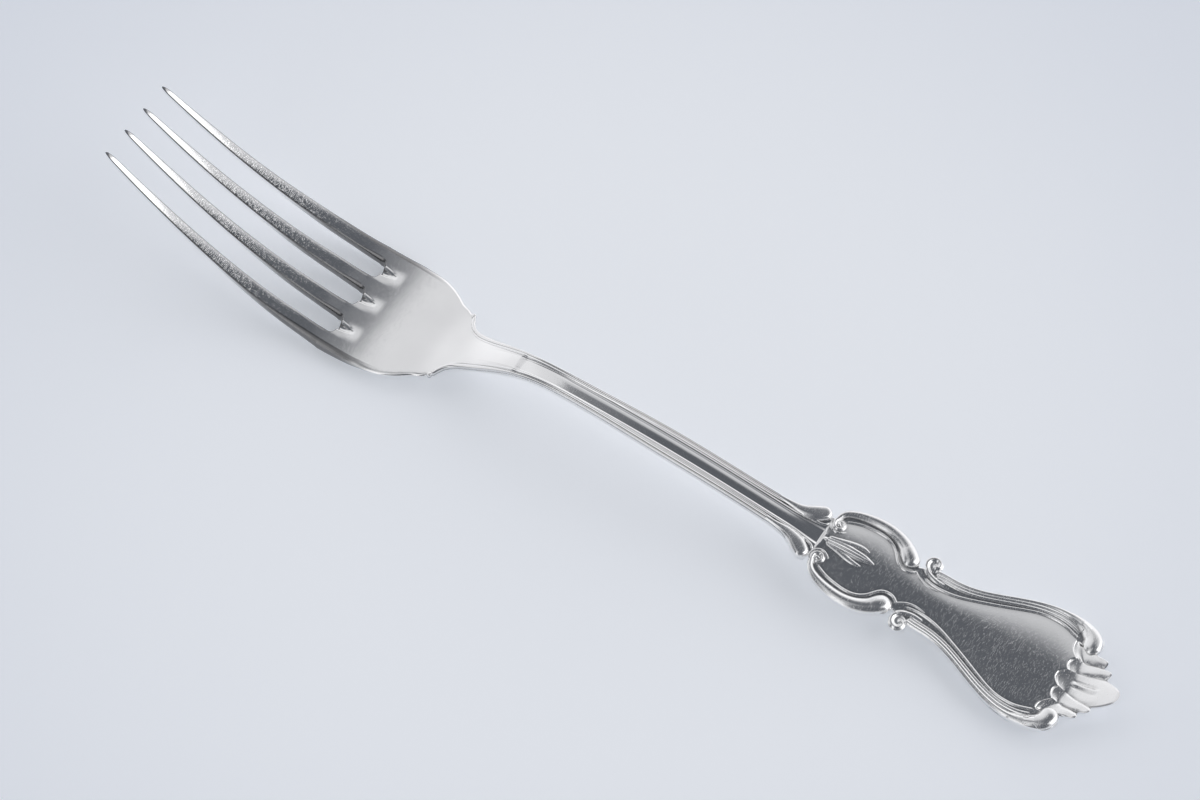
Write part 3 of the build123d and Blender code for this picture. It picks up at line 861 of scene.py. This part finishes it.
# Shader maths
class Value:
    """A shader socket that takes part in plain arithmetic; each step adds a Math node."""

    def __init__(self, shader, socket):
        self.shader = shader
        self.socket = socket

    def math(self, operation, *terms):
        return self.shader.add("ShaderNodeMath", {"operation": operation}, dict(enumerate(terms)))

    def __add__(self, other):
        return self.math("ADD", self, other)

    __radd__ = __add__

    def __mul__(self, other):
        return self.math("MULTIPLY", self, other)

    __rmul__ = __mul__

    def __sub__(self, other):
        return self.math("SUBTRACT", self, other)

    def __rsub__(self, other):
        return self.math("SUBTRACT", other, self)

    def most(self, other):
        return self.math("MAXIMUM", self, other)

    def least(self, other):
        return self.math("MINIMUM", self, other)

    def ramp(self, low, high):
        """0 below low and 1 above high, with a soft step between."""
        settings = {"interpolation_type": "SMOOTHSTEP"}
        inputs = {"Value": self, "From Min": low, "From Max": high}
        return self.shader.add("ShaderNodeMapRange", settings, inputs)


class Shader:
    """Nodes of one material or world."""

    def __init__(self, owner):
        owner.use_nodes = True
        self.tree = owner.node_tree
        self.tree.nodes.clear()

    def add(self, kind, settings=None, inputs=None, output=0):
        """Any node: its settings first, then the values or links of its sockets."""
        node = self.tree.nodes.new(kind)
        for name, value in (settings or {}).items():
            setattr(node, name, value)
        for name, value in (inputs or {}).items():
            if isinstance(value, Value):
                self.tree.links.new(value.socket, node.inputs[name])
            else:
                node.inputs[name].default_value = value
        return Value(self, node.outputs[output]) if node.outputs else None

    def mix(self, share, one, two):
        """Blend of two colours."""
        settings = {"data_type": "RGBA"}
        return self.add("ShaderNodeMix", settings, {"Factor": share, 6: one, 7: two}, 2)

    def noise(self, place, scale, detail=2.0, rough=0.5):
        """Soft cloud of values from 0 to 1."""
        inputs = {"Vector": place, "Scale": scale, "Detail": detail, "Roughness": rough}
        return self.add("ShaderNodeTexNoise", None, inputs)

    def stretched(self, place, scale, turn):
        """A place turned about the upright axis and stretched along one direction."""
        inputs = {"Vector": place, "Rotation": (0, 0, turn), "Scale": scale}
        return self.add("ShaderNodeMapping", None, inputs)


def worn_silver(name, satin):
    """Polished silver with hairline scratches and small dents on the tines, softer with more satin, darkened
    by tarnish and painted shade where its pieces carry them.
    """
    material = bpy.data.materials.new(name)
    shader = Shader(material)
    place = shader.add("ShaderNodeTexCoord", output=3)
    cloud = shader.noise(place, 90, 3)
    fine = shader.noise(place, 3500, 3, 0.6)
    along = shader.add("ShaderNodeSeparateXYZ", None, {"Vector": place})
    worn = along.ramp(*WEAR_STARTS) * (1 - along.ramp(*WEAR_ENDS))
    hair = None
    for turn, across, length in HAIRLINES:
        lines = shader.noise(shader.stretched(place, (across, length, 2000), turn), 1.0, 1, 0.5)
        mark = (lines + 0.05 * worn).ramp(0.65, 0.75)
        hair = mark if hair is None else hair.most(mark)
    # The per-point darkening pulls the colour towards dark silver: tarnish and painted shade in hollows and
    # grooves, painted shade along the tines' edges and rims
    tarnish_and_shade = shader.add("ShaderNodeAttribute", {"attribute_name": "tarnish_and_shade"}, None, 2)
    rough = 0.1 + satin + 0.05 * cloud + 0.06 * hair + 0.1 * tarnish_and_shade - 0.04 * worn
    clean = shader.mix(cloud.ramp(0.3, 0.75), CLEAN_SILVER, DULL_SILVER)
    tint = shader.mix(tarnish_and_shade * (0.85 + 0.15 * cloud), clean, TARNISHED_AND_SHADED_SILVER)
    wave = shader.noise(place, 180, 2, 0.5)
    dents = shader.noise(place, 2300, 2, 0.6).ramp(0.59, 0.7)
    handled = 1 - along.ramp(*HANDLED_TO)
    relief = 1.4 * wave + 0.25 * fine + (0.12 + 0.35 * handled + 0.5 * worn) * hair + 2.0 * worn * dents
    marks = {"Strength": 0.5, "Distance": SCRATCH_DEPTH, "Height": relief}
    bump = shader.add("ShaderNodeBump", None, marks)
    sockets = {"Base Color": tint, "Metallic": 1.0, "Roughness": rough, "Normal": bump}
    metal = shader.add("ShaderNodeBsdfPrincipled", None, sockets)
    shader.add("ShaderNodeOutputMaterial", None, {"Surface": metal})
    return material


def table_cloth(name):
    """Pale cool table top with a faint unevenness, and a painted glow for camera and glossy rays that is
    brighter near the fork.
    """
    material = bpy.data.materials.new(name)
    shader = Shader(material)
    place = shader.add("ShaderNodeTexCoord", output=3)
    cloud = shader.noise(place, 6, 3)
    tint = shader.mix(cloud, *TABLE_TINTS)
    rays = [
        shader.add("ShaderNodeLightPath", output=kind)
        for kind in ("Is Camera Ray", "Is Glossy Ray", "Is Transmission Ray")
    ]
    seen = rays[0].most(rays[1]).most(rays[2])
    # Painted pool of light on the floor, seen by the camera and in reflections: brighter near the fork,
    # fainter farther out
    spread = shader.add("ShaderNodeVectorMath", {"operation": "LENGTH"}, {0: place}, 1)
    glow = shader.mix(spread.ramp(0.05, 0.2), *TABLE_PAINTED_GLOWS)
    glow = shader.mix(seen, NO_GLOW, glow)
    sockets = {"Base Color": tint, "Roughness": 0.7, "Emission Color": glow, "Emission Strength": 1.0}
    cover = shader.add("ShaderNodeBsdfPrincipled", None, sockets)
    shader.add("ShaderNodeOutputMaterial", None, {"Surface": cover})
    return material


def studio_light():
    """Zones of the room by direction: pale round the horizon, a dark gap overhead, a lamp past the handle."""
    world = bpy.data.worlds.new("studio")
    bpy.context.scene.world = world
    shader = Shader(world)
    way = shader.add("ShaderNodeTexCoord")
    split = shader.add("ShaderNodeSeparateXYZ", None, {"Vector": way}).socket.node
    x, y, z = (Value(shader, split.outputs[k]) for k in range(3))
    over_handle = (0.12 + x).ramp(0.0, 0.1) * (1 - x.ramp(0.26, 0.36))
    low = (1 - z.ramp(0.1, 0.5)) * (1 - 0.75 * y.ramp(0.2, 0.5) * (1 - over_handle))
    low = low * (1 - 0.7 * x.ramp(0.4, 0.6))
    behind = (0 - y).ramp(0.1, 0.4)
    wall = (0.48 * (1 - z.ramp(0.77, 0.87)) + 0.7 * (1 - z.ramp(0.5, 0.74))) * behind
    near = (0.5 * y.ramp(-0.12, 0.14) + 0.45 * y.ramp(0.3, 0.7)) * over_handle
    window_side = 1 - y.ramp(-0.15, 0.2)
    far_side = 0.1 * x.ramp(0.12, 0.24) + 0.53 * x.ramp(0.272, 0.328) + 0.11 * x.ramp(0.45, 0.65)
    far_side = far_side * window_side
    lamp_side = 0.05 * (0 - x).ramp(0.2, 0.4) + KEY_LIGHT * (0 - x).ramp(0.475, 0.555)
    lamp_side = lamp_side * window_side
    beyond = 0.7 * x.ramp(0.56, 0.72) * y.ramp(-0.1, 0.2) * (1 - y.ramp(0.55, 0.75))
    broad = far_side.most(wall * (1 - x.ramp(0.3, 0.5)))
    horizon = 0.72 * (1 - z.ramp(0.06, 0.16))
    level = (0.115 + broad + near + beyond + 0.6 * low).least(1.1).most(lamp_side).most(horizon)
    shade = {"Red": level * 0.985 - 0.012, "Green": level * 0.985 - 0.004, "Blue": level + 0.01}
    colour = shader.add("ShaderNodeCombineColor", None, shade)
    glow = shader.add("ShaderNodeBackground", None, {"Color": colour, "Strength": 1.0})
    shader.add("ShaderNodeOutputWorld", None, {"Surface": glow})


def photographer():
    """Camera at the photograph's viewpoint."""
    target = Vector(LOOKED_AT) * MM
    heading, elevation, roll = (math.radians(angle) for angle in VIEW_ANGLES)
    distance = VIEW_DISTANCE * MM
    flat = math.cos(elevation)
    back = Vector((flat * math.cos(heading), flat * math.sin(heading), math.sin(elevation)))
    right = (-back).cross(Vector((0, 0, 1))).normalized()
    up = right.cross(-back)
    right, up = right * math.cos(roll) + up * math.sin(roll), up * math.cos(roll) - right * math.sin(roll)
    data = bpy.data.cameras.new("viewpoint")
    data.sensor_width = SENSOR_WIDTH
    data.lens = LENS
    data.clip_start, data.clip_end = 0.01, 20
    camera = bpy.data.objects.new("viewpoint", data)
    turn = Matrix((right, up, back)).transposed().to_4x4()
    camera.matrix_world = Matrix.Translation(target + back * distance) @ turn
    bpy.context.scene.collection.objects.link(camera)
    bpy.context.scene.camera = camera


def table_top():
    """Plain floor under the fork."""
    bpy.ops.mesh.primitive_plane_add(size=TABLE_SIZE)
    floor = bpy.context.object
    floor.name = "table_top"
    floor.data.materials.append(table_cloth("table_cloth"))
    floor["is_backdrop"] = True


silver = worn_silver("worn_silver", 0.0)
struck_silver = worn_silver("struck_silver", STRUCK_SATIN)

# Body of the fork, cut into its regions
make_piece("handle_plate", [body_shell(PLATE_END, FOOT, 0.2, even_lanes, HANDLE_EDGE)], silver)
make_piece("stem_foot", [body_shell(FOOT, STEM, 0.15, rib_lanes, HANDLE_EDGE)], silver)
make_piece("stem", [body_shell(STEM, VEE, 0.5, rib_lanes, STEM_EDGE)], silver)
make_piece("neck", [body_shell(VEE, SHOULDER, 0.25, rib_lanes, STEM_EDGE)], silver)
make_piece("palm", [palm_shell()], silver)
inner_low, inner_high = SLOT_RADIUS, SLOT_PITCH - SLOT_RADIUS
outer_low, outer_high = SLOT_PITCH + SLOT_RADIUS, PALM_HALF_WIDTH
inner_middle = smooth_curve([
    (ROOT, SLOT_PITCH / 2), (165, 3.5), (175, 3.35), (185, 3.2), (195, 3.0), (TIP, 2.85),
])
outer_middle = smooth_curve([
    (ROOT, (outer_low + outer_high) / 2), (165, 10.5), (175, 10.1), (185, 9.6), (195, 9.15), (TIP, 8.7),
])
inner_half = smooth_curve([
    (ROOT, (inner_high - inner_low) / 2), (161, 1.62), (165, 1.5), (175, 1.3), (185, 1.1), (195, 0.85),
    (TIP, TIP_HALF_WIDTH),
])
outer_half = smooth_curve([
    (ROOT, (outer_high - outer_low) / 2), (161, 1.7), (165, 1.58), (175, 1.32), (185, 1.07), (195, 0.83),
    (TIP, TIP_HALF_WIDTH),
])
for name, low, high, middle_line, half_line in (
    ("tine_1", outer_low, outer_high, outer_middle, outer_half),
    ("tine_2", inner_low, inner_high, inner_middle, inner_half),
    ("tine_3", -inner_high, -inner_low, inner_middle, inner_half),
    ("tine_4", -outer_high, -outer_low, outer_middle, outer_half),
):
    make_piece(name, [tine_shell(low, high, middle_line, half_line)], silver)


def stem_reeds():
    """Thread on the stem's edge, a broad reed inside it and a finer one beside the rib."""
    # Tarnish and painted shade along the reeds' edges, lighter towards the neck
    dark = np.linspace(REED_TARNISH_AND_SHADE, THREAD_TARNISH_AND_SHADE, REED_ROWS)
    return [
        bead(edge_run(STEM, VEE, 0.24, REED_ROWS), 0.22, 0.22, edge_tarnish_and_shade=dark),
        bead(edge_run(STEM, VEE, 0.8, REED_ROWS), 0.28, 0.3, edge_tarnish_and_shade=dark),
        bead(rib_run(STEM, VEE, 0.28, REED_ROWS), 0.16, 0.2, edge_tarnish_and_shade=dark),
    ]


def shoulder_threads():
    """The reeds spreading along the neck and curling over on the shoulder."""
    outer = smooth_path([
        (VEE, 2.51), (128, 3.08), (131.5, 3.58), (134.2, 4.55), (135.5, 6.0), (136.0, 7.3),
    ], 70)
    middle = smooth_path([(VEE, 1.95), (126, 2.2), (130, 2.65), (132.8, 3.25), (134.6, 4.2)], 50)
    swell = ease(np.linspace(0, 1, 70), 0, 0.5)
    tip = smooth_path([(135.9, 7.1), (136.3, 7.4), (136.6, 7.75)], 12)
    thread_half = (0.22 + 0.22 * swell) * round_ends(70, 0, 0.06)
    reed_half, reed_height = 0.28 * np.linspace(1, 0.6, 50), 0.3 * np.linspace(1, 0.25, 50)
    # The thread and reed carry tarnish and painted shade along their edges
    return [
        bead(outer, thread_half, 0.22 + 0.15 * swell, edge_tarnish_and_shade=THREAD_TARNISH_AND_SHADE),
        bead(middle, reed_half, reed_height, edge_tarnish_and_shade=THREAD_TARNISH_AND_SHADE),
        bead(tip, 0.5 * round_ends(12, 0.4, 0.4), 0.42 * round_ends(12, 0.4, 0.4)),
    ]


def struck(strand, depth=0.5, lanes=17, first=0.0, last=0.0, lift=PIECE_LIFT):
    """Piece of the struck relief over a strand, with rounded ends where it has them."""
    width = strand[:, 2] * round_ends(len(strand), first, last)
    return bead(strand[:, :2], width, None, depth, lanes, lift=lift)


def foot_lobe():
    """Teardrop that ends the outer reed, with the fine reed running in beside it."""
    outward = LOBE[0, :2] - LOBE[6, :2]
    head = LOBE[0, :2] + outward / np.linalg.norm(outward) * LOBE[0, 2]
    reach = np.linspace(0, 1, 24)[:-1, None]
    cap = head + (LOBE[0, :2] - head) * reach
    round_head = LOBE[0, 2] * np.sqrt(1 - (1 - reach[:, 0]) ** 2)
    path = np.concatenate([cap, LOBE[:, :2]])
    width = np.maximum(np.concatenate([round_head, LOBE[:, 2]]), 0.03)
    return [bead(path, width, None, None, 25), struck(FOOT_REED, lanes=9)]


def c_scroll():
    """Bow of the C-scroll, swelling towards its end, with a fine thread inside it."""
    return [struck(C_RIDGE, None, 25, 0.04, 0.04), struck(C_THREAD, lanes=9)]


def c_bulb():
    """Rolled end of the C-scroll."""
    return [boss((43.65, 5.4), 1.86, 1.78, math.radians(45))]


def c_volute():
    """Volute that closes the C-scroll beside the foot."""
    return [boss((57.2, 3.85), 1.35, 1.35, 0.0, 1.0), struck(C_COLLAR, lanes=9)]


def s_scroll():
    """Broad ridge, two reeds and a thread along the fan's edge, from the volute to the heel."""
    return [
        struck(S_RIDGE, 0.9, 17, 0.03, 0.03), struck(S_REED, lanes=11, lift=2 * PIECE_LIFT),
        struck(S_FINE_REED, lanes=11, lift=3 * PIECE_LIFT), struck(S_THREAD, lanes=9, lift=4 * PIECE_LIFT),
    ]


def s_volute():
    """Volute at the head of the S-scroll, on a round ear of the handle."""
    return [boss((39.58, 6.7), 1.62, 1.62), struck(S_CURL[:60], lanes=13), struck(S_TAIL, lanes=9)]


def end_bulb():
    """Rolled end of the S-scroll beside the shell."""
    return [boss((9.0, 8.65), 2.5, 1.78, math.radians(72))]


def slab(top, bottom, tarnish_and_shade):
    """Closed shell between a grid of top points and a grid of bottom points."""
    rows, columns = top.shape[:2]
    points = np.concatenate([top.reshape(-1, 3), bottom.reshape(-1, 3)])
    under = rows * columns
    faces, walls = [], []
    for i in range(rows - 1):
        for j in range(columns - 1):
            cell = (i * columns + j, i * columns + j + 1, (i + 1) * columns + j + 1, (i + 1) * columns + j)
            faces.append(cell)
            faces.append(tuple(under + k for k in cell))
    ends = [(i * columns + j, i * columns + j + 1) for i in (0, rows - 1) for j in range(columns - 1)]
    flanks = [(i * columns + j, (i + 1) * columns + j) for i in range(rows - 1) for j in (0, columns - 1)]
    for one, two in ends + flanks:
        walls.append((one, two, under + two, under + one))
    return points, faces, walls, np.concatenate([tarnish_and_shade.reshape(-1), np.zeros(under)])


def shell_ray(low_side, high_side, head_bulge, tip_bulge, tip_power, vein=0.0):
    """One ray of the shell between two grooves: a lip at its head, a dish, then a round petal."""
    t = np.linspace(0, 1, 60)[:, None]
    v = np.sin(np.linspace(-1, 1, 31) * np.pi / 2)[None, :]
    low_side, high_side = np.array(low_side, float), np.array(high_side, float)
    plan = []
    for k in range(2):
        low = low_side[0, k] + (low_side[1, k] - low_side[0, k]) * t
        high = high_side[0, k] + (high_side[1, k] - high_side[0, k]) * t
        rounded = head_bulge[k] * (1 - v**2) * (1 - t) + tip_bulge[k] * (1 - np.abs(v) ** tip_power) * t
        plan.append((low + high) / 2 + (high - low) / 2 * v + rounded)
    s, y = plan
    lip = RAY_LIP * np.exp(-(((t - 0.02) / 0.02) ** 2)) * np.ones_like(v)
    dish = -RAY_DISH * ease(t, 0.03, 0.3) * (1 - ease(t, 0.3, 0.8))
    groove = -RAY_GROOVE * np.abs(v) ** 5 * ease(t, 0.1, 0.6)
    swell = RAY_SWELL * ease(t, 0.1, 0.8) * (1 - v**2)
    rib = vein * (np.exp(-((v / 0.12) ** 2)) - np.exp(-(((np.abs(v) - 0.27) / 0.1) ** 2)))
    rib = rib * ease(t, 0.25, 0.35) * (1 - ease(t, 0.6, 0.72))
    droop = -RAY_DROOP * ease(t, 0.94, 1) ** 2
    height = front_line(s) + RAY_LIFT + lip + dish + groove + swell + rib + droop
    under = height - RAY_THICKNESS - RAY_ROOT * (1 - t) * (1 - v**2)
    # Tarnish and painted shade at the petal's sides and in the grooves beside its vein
    tarnish_and_shade = RAY_TARNISH_AND_SHADE * np.abs(v) ** 14 * ease(t, 0.1, 0.3) + np.clip(-rib, 0, 1)
    return [slab(np.stack([s, y, height], axis=2), np.stack([s, y, under], axis=2), tarnish_and_shade)]


def leaf_drop():
    """Pointed leaf hanging from the foot, with a double vein and a fold on each side."""
    return [struck(LEAF_BLADE, lanes=21)] + [struck(fold, lanes=13) for fold in LEAF_FOLDS]


for side, hand in ((1, "left"), (-1, "right")):
    for name, shells in (("stem_reed", stem_reeds()), ("shoulder_thread", shoulder_threads())):
        make_piece(f"{name}_{hand}", shells if side > 0 else mirrored(shells), silver)
    for name, shells in (
        ("foot_lobe", foot_lobe()),
        ("c_scroll", c_scroll()),
        ("c_volute", c_volute()),
        ("c_bulb", c_bulb()),
        ("s_scroll", s_scroll()),
        ("s_volute", s_volute()),
        ("end_bulb", end_bulb()),
        ("shell_ray_inner", shell_ray(CENTRE_GROOVE, MIDDLE_GROOVE, (INNER_BULGE, 0), (-0.95, 0.4), 2)),
        ("shell_ray_outer", shell_ray(MIDDLE_GROOVE, OUTER_GROOVE, (OUTER_BULGE, -0.3), (-1.15, 0.6), 2)),
    ):
        make_piece(f"{name}_{hand}", shells if side > 0 else mirrored(shells), struck_silver)
other_groove = [(station, -aside) for station, aside in CENTRE_GROOVE]
centre_ray = shell_ray(other_groove, CENTRE_GROOVE, (CENTRE_BULGE, 0), (-3.58, 0), 2.4, RAY_VEIN)
make_piece("shell_ray_centre", centre_ray, struck_silver)
make_piece("leaf_drop", leaf_drop(), struck_silver)

table_top()
studio_light()
photographer()
bpy.context.scene.view_settings.view_transform = "Standard"

low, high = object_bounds()
